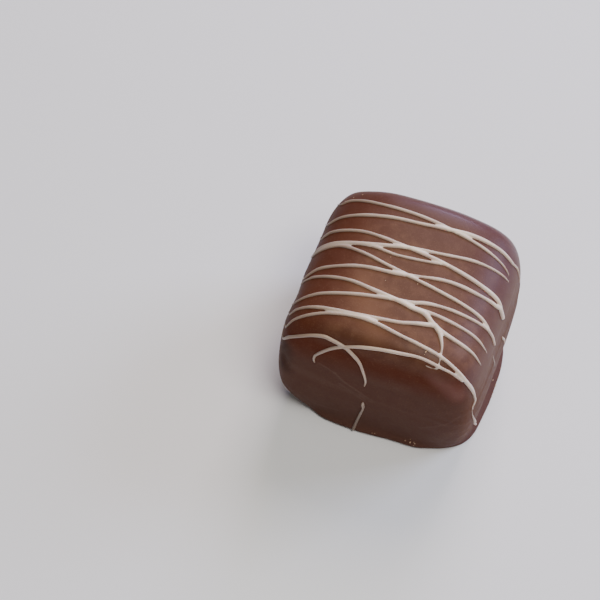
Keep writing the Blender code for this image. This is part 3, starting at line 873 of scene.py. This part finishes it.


# %% [markdown]
# ## Bloom, smears, painted sheen and dust
#
# A coat that was touched carries pale smears, where the cocoa butter melted and set again, and the same
# pale streaks stand for painted highlights along the ribs of the right wall and painted sheen on the near
# end. They are laid down in the same way as the drizzle's routes: each is a line between two places on the
# folded sheet, pressed on to the coat, and the flecks break it up. A faint bloom lies over everything, and
# the finest crumbs are only flecks of colour, since a mesh of them would be too heavy.

# %% Smears: two places on the folded sheet and a width in millimetres, and a share
# The pale colour is bloom, and in the smears it also paints highlights along the right wall's ribs and sheen
# on the near end
BLOOM_AND_SHEEN, BLOOM_SHARE = (0.22, 0.148, 0.118), 0.04
SMEARS_AND_SHEEN = [
    ((24.0, 8.9), (24.9, 3.2), 0.4, 0.4), ((24.9, 1.0), (25.3, -4.2), 0.4, 0.4),
    ((25.3, -4.2), (28.5, -9.5), 0.35, 0.4), ((28.5, -9.5), (32.3, -10.4), 0.3, 0.3),
    ((-8.2, -25.1), (-5.7, -26.5), 0.4, 0.22), ((-5.7, -26.5), (-3.9, -28.6), 0.5, 0.3),
    ((-3.9, -28.6), (0.0, -31.1), 0.5, 0.32), ((-4.7, -29.6), (-0.5, -32.7), 0.4, 0.28),
    ((-13.0, -29.0), (-7.2, -30.5), 2.2, 0.17), ((-7.2, -30.5), (0.4, -31.7), 1.8, 0.17),
    ((0.4, -31.7), (7.3, -32.2), 1.0, 0.1), ((7.3, -32.2), (13.9, -27.9), 1.0, 0.1),
    ((0.5, -25.5), (6.0, -24.5), 2.4, 0.14), ((9.3, -36.6), (13.3, -32.4), 0.45, 0.2),
    ((13.3, -32.4), (16.0, -29.0), 0.4, 0.16), ((-11.6, -37.2), (-9.8, -41.1), 0.35, 0.16),
    ((12.5, -41.5), (15.6, -35.5), 1.8, 0.16), ((-9.8, -41.1), (-4.8, -40.4), 0.4, 0.18),
    ((6.8, 3.1), (7.8, 3.1), 0.22, 0.5),
]
# Between its flecks, a smear keeps this much of its share
SMEAR_LEAST = 0.3
# Dust starts at this much of the fine flecks, and reaches this share
DUST_BROWN, DUST_FROM, DUST_SHARE = (0.28, 0.16, 0.09), 0.66, 0.22


def add_bloom_and_sheen(made, place, brown, patches, flecks):
    """Lays the bloom, the smears with their painted highlights and sheen, and the dust over the browns."""
    smears_and_sheen = []
    for start, end, width, share in SMEARS_AND_SHEEN:
        ends = [on_coat(*spot)[0] / MM for spot in (start, end)]
        smears_and_sheen.append(streak(made, place, *ends, width, share))
    smeared_and_sheen = combine(made, "MAXIMUM", *smears_and_sheen)
    broken = combine(made, "MULTIPLY", smeared_and_sheen, remap(made, flecks, SMEAR_LEAST, 1.0))
    haze = combine(made, "MAXIMUM", remap(made, patches, 0.0, BLOOM_SHARE), broken)
    brown = mix_colours(made, haze, brown, BLOOM_AND_SHEEN)
    dust = remap(made, flecks, 0.0, DUST_SHARE, low=DUST_FROM)
    return mix_colours(made, dust, brown, DUST_BROWN)


# %% [markdown]
# ## The chocolate
#
# Smooth cocoa butter gives the top and the right a satin gloss, while the near end, the left and the
# lower walls are dull. The specular level could follow a mask, but a model that leaves Blender keeps only
# a plain one. So the skin is nearly dull all over, and a clear layer lies on it, as strong as
# its mask says. The skin is polished on the far rim alone, where the light draws a streak.

# %% The chocolate material
# The skin: its specular level, its roughness, and how much of that the far rim keeps
SKIN_LEVEL, SKIN_ROUGHNESS, FAR_RIM_POLISH = 0.06, (0.48, 0.60), 0.15
# The clear layer: how strong it is where it is whole, and its roughness
BUTTER_SHARE, BUTTER_ROUGHNESS = 0.73, 0.46
COCOA_IOR = 1.36
COAT_GRAIN, COAT_GRAIN_STRENGTH = 0.02 * MM, 0.2


def chocolate_material():
    """The coat's browns, its smears, and its satin gloss."""
    made, shader, place = start_material("milk_chocolate")
    slow_patches, slow_flecks = mottle(made, place, *SLOW)
    fine_patches, fine_flecks = mottle(made, place, *FINE)
    masks = coat_masks(made, place)
    _, on_top, far_rim = masks
    brown = edge_brown(made, place, slow_patches, masks)
    brown = add_middle(made, place, brown, fine_patches)
    brown = add_wall_and_foot(made, place, brown)
    brown = add_bloom_and_sheen(made, place, brown, fine_patches, fine_flecks)
    roughness = combine(made, "MULTIPLY", remap(made, slow_flecks, *SKIN_ROUGHNESS),
                        remap(made, far_rim, 1.0, FAR_RIM_POLISH))
    glossy = combine(made, "MULTIPLY", on_top, past(made, place, FROM_LEFT))
    links = made.node_tree.links
    links.new(brown, shader.inputs["Base Color"])
    links.new(roughness, shader.inputs["Roughness"])
    links.new(remap(made, glossy, 0.0, BUTTER_SHARE), shader.inputs["Coat Weight"])
    shader.inputs["Specular IOR Level"].default_value = SKIN_LEVEL
    shader.inputs["Coat Roughness"].default_value = BUTTER_ROUGHNESS
    shader.inputs["IOR"].default_value = COCOA_IOR
    shader.inputs["Coat IOR"].default_value = COCOA_IOR
    bump(made, shader, fine_flecks, COAT_GRAIN, COAT_GRAIN_STRENGTH)
    return made


# %% [markdown]
# ## The white coating
#
# White coating is a cream that drifts towards grey, and a little light goes into it and comes out again.
# Where it lies thin the brown shows through, which the thickness on its mesh tells. On the near end and
# down the left side it is painted darker too, as shade. The strands could be made see-through, but a colour
# between the cream and the brown looks the same from every side.

# %% The white coating's material
CREAM, GREY_CREAM, THIN_CREAM = (0.90, 0.76, 0.61), (0.78, 0.64, 0.54), (0.36, 0.245, 0.19)
# A darker cream painted on as shade, on the near end and down the left side
SHADE_CREAM, SHADE_SHARE = (0.17, 0.115, 0.085), 0.9
CREAM_MOTTLE = 0.3, 2.2
# Thicknesses at which it looks thinnest and full, in millimetres
THINNEST, FULL = 0.2, 0.95
# On to the near end, where painted shade browns it up to this share, and out to the left side
ON_NEAR_END, NEAR_END_SHADE, TO_LEFT = ((0, -12, 0), (0, -15, 0)), 0.7, ((-3, 0, 0), (-17, 0, 0))
# Over the near rim, and down the near end
OVER_NEAR_RIM, DOWN_NEAR_END = ((0, -13.6, 0), (0, -14.6, 0)), ((0, 0, 20), (0, 0, 5))
CREAM_ROUGHNESS = 0.32, 0.45
CREAM_GRAIN, CREAM_GRAIN_STRENGTH = 0.04 * MM, 0.2
GLOW, GLOW_REACH = 0.3, (0.6 * MM, 0.4 * MM, 0.25 * MM)


def drizzle_material():
    """Cream, browner where it is thin, with painted shade on the near end and at the left, and a soft gloss.
    """
    made, shader, place = start_material("white_coating")
    patches, flecks = mottle(made, place, *CREAM_MOTTLE)
    thickness = made.node_tree.nodes.new("ShaderNodeAttribute")
    thickness.attribute_name = "thickness"
    thin = remap(made, thickness.outputs["Fac"], 1.0, 0.0, THINNEST, FULL)
    near_end_shade = remap(made, past(made, place, ON_NEAR_END), 0.0, NEAR_END_SHADE)
    low = past(made, place, OVER_NEAR_RIM, DOWN_NEAR_END)
    shade = combine(made, "MAXIMUM", past(made, place, TO_LEFT), low)
    cream = mix_colours(made, patches, CREAM, GREY_CREAM)
    cream = mix_colours(made, combine(made, "MAXIMUM", thin, near_end_shade), cream, THIN_CREAM)
    cream = mix_colours(made, remap(made, shade, 0.0, SHADE_SHARE), cream, SHADE_CREAM)
    made.node_tree.links.new(cream, shader.inputs["Base Color"])
    made.node_tree.links.new(remap(made, flecks, *CREAM_ROUGHNESS), shader.inputs["Roughness"])
    bump(made, shader, flecks, CREAM_GRAIN, CREAM_GRAIN_STRENGTH)
    shader.inputs["Subsurface Weight"].default_value = GLOW
    shader.inputs["Subsurface Radius"].default_value = GLOW_REACH
    shader.inputs["Subsurface Scale"].default_value = 1.0
    return made


# %% [markdown]
# ## The crumbs' finish
#
# Crumbs are broken bits, and a broken face has no smooth skin, so they are rougher than either coating.
# The mottle makes them cream and tan by turns.

# %% The crumbs' material
PALE_CRUMB, TAN_CRUMB = (0.62, 0.46, 0.30), (0.36, 0.20, 0.11)
CRUMB_MOTTLE, CRUMB_ROUGHNESS = (1.3, 8.0), 0.75
CRUMB_GRAIN, CRUMB_GRAIN_STRENGTH = 0.05 * MM, 0.5


def crumb_material():
    """Cream and tan by turns, and rough."""
    made, shader, place = start_material("crumb")
    patches, flecks = mottle(made, place, *CRUMB_MOTTLE)
    tan = mix_colours(made, patches, PALE_CRUMB, TAN_CRUMB)
    made.node_tree.links.new(tan, shader.inputs["Base Color"])
    shader.inputs["Roughness"].default_value = CRUMB_ROUGHNESS
    bump(made, shader, flecks, CRUMB_GRAIN, CRUMB_GRAIN_STRENGTH)
    return made


# %% Dressing the pieces
FINISHES = ((coat, chocolate_material()), (drizzle, drizzle_material()), (crumb_piece, crumb_material()))
for piece, finish in FINISHES:
    piece.data.materials.clear()
    piece.data.materials.append(finish)
    print(finish.name, "has", len(finish.node_tree.nodes), "nodes")

# %% [markdown]
# ## The studio
#
# The bite stands on a plain pale floor. The light is soft: a wide bluish window at the back right,
# which lays the grey sheen on the right shoulder, a warm panel high behind for the middle of the top,
# a long low violet one behind that draws the streak along the far rim, and a panel overhead. Very
# little comes from the front, so the near end stays in its own shade.

# %% Floor
FLOOR_SIZE, FLOOR_PALE, FLOOR_ROUGHNESS = 4.0, (0.86, 0.86, 0.86, 1.0), 0.9
bpy.ops.object.select_all(action="DESELECT")
bpy.ops.mesh.primitive_plane_add(size=FLOOR_SIZE, location=(0.0, 0.0, 0.0))
floor = bpy.context.object
floor.name = "floor"
floor_paint = bpy.data.materials.new("pale_floor")
floor_paint.use_nodes = True
floor_shader = floor_paint.node_tree.nodes["Principled BSDF"]
floor_shader.inputs["Base Color"].default_value = FLOOR_PALE
floor_shader.inputs["Roughness"].default_value = FLOOR_ROUGHNESS
floor.data.materials.append(floor_paint)
print("floor, m:", FLOOR_SIZE)

# %% Lights: a place, a width and a height, watts and a colour
PANELS = {
    "window": ((0.478, 0.401, 0.333), (0.32, 0.32), 4.0, (0.60, 0.68, 1.0)),
    "back_panel": ((0.0, 0.431, 0.566), (0.30, 0.30), 2.2, (1.0, 0.84, 0.62)),
    "far_panel": ((-0.02, 0.572, 0.320), (0.24, 0.06), 2.1, (0.66, 0.62, 1.0)),
    "overhead": ((0.227, -0.131, 0.664), (0.30, 0.30), 3.5, (1.0, 0.97, 0.92)),
}
ROOM_COLOUR, ROOM_STRENGTH = (1.0, 0.98, 0.97, 1.0), 0.14


def add_panel(name, place, size, power, colour):
    """A soft light that faces the bite."""
    light = bpy.data.lights.new(name, "AREA")
    light.shape = "RECTANGLE"
    light.size, light.size_y = size
    light.energy = power
    light.color = colour
    panel = bpy.data.objects.new(name, light)
    panel.location = place
    panel.rotation_euler = (Vector((0, 0, HEIGHT / 2)) - Vector(place)).to_track_quat("-Z", "Y").to_euler()
    bpy.context.scene.collection.objects.link(panel)


for name, panel in PANELS.items():
    add_panel(name, *panel)
print("lights:", ", ".join(PANELS))
world = bpy.data.worlds.new("studio")
world.use_nodes = True
world.node_tree.nodes["Background"].inputs["Color"].default_value = ROOM_COLOUR
world.node_tree.nodes["Background"].inputs["Strength"].default_value = ROOM_STRENGTH
bpy.context.scene.world = world

# %% Camera
AZIMUTH, ELEVATION = math.radians(14.0), math.radians(59.0)
DISTANCE = 250.0 * MM
LENS_MM, SENSOR_MM = 91.02, 36.0
# How far right of the middle and up the bite stands in the picture, measured at the bite
AIM_RIGHT, AIM_UP = -16.708 * MM, 1.26 * MM
# How high the point stands that the distance is measured from
AIM_HEIGHT = 14.0 * MM
back = Vector((math.sin(AZIMUTH) * math.cos(ELEVATION), -math.cos(AZIMUTH) * math.cos(ELEVATION),
               math.sin(ELEVATION)))
right = Vector((math.cos(AZIMUTH), math.sin(AZIMUTH), 0.0))
up = back.cross(right)
middle = Vector((0.0, 0.0, AIM_HEIGHT)) + TO_MIDDLE
eye = middle + back * DISTANCE
aim = middle + right * AIM_RIGHT + up * AIM_UP
camera_data = bpy.data.cameras.new("camera")
camera_data.lens = LENS_MM
camera_data.sensor_width = SENSOR_MM
camera_data.clip_start, camera_data.clip_end = 0.01, 10.0
camera = bpy.data.objects.new("camera", camera_data)
camera.location = eye
camera.rotation_euler = (aim - eye).to_track_quat("-Z", "Y").to_euler()
bpy.context.scene.collection.objects.link(camera)
bpy.context.scene.camera = camera
print("camera, mm:", [round(value / MM) for value in eye])

# %% [markdown]
# ## Putting the pieces on the part
#
# Every piece rides on the imported body and stands in for the imported solid, which is then hidden.

# %% Riding and the hidden solid
for piece, slot in ((coat, "chocolate"), (drizzle, "white_drizzle"), (crumb_piece, "white_drizzle")):
    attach(piece, "root")
    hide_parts(NODE)
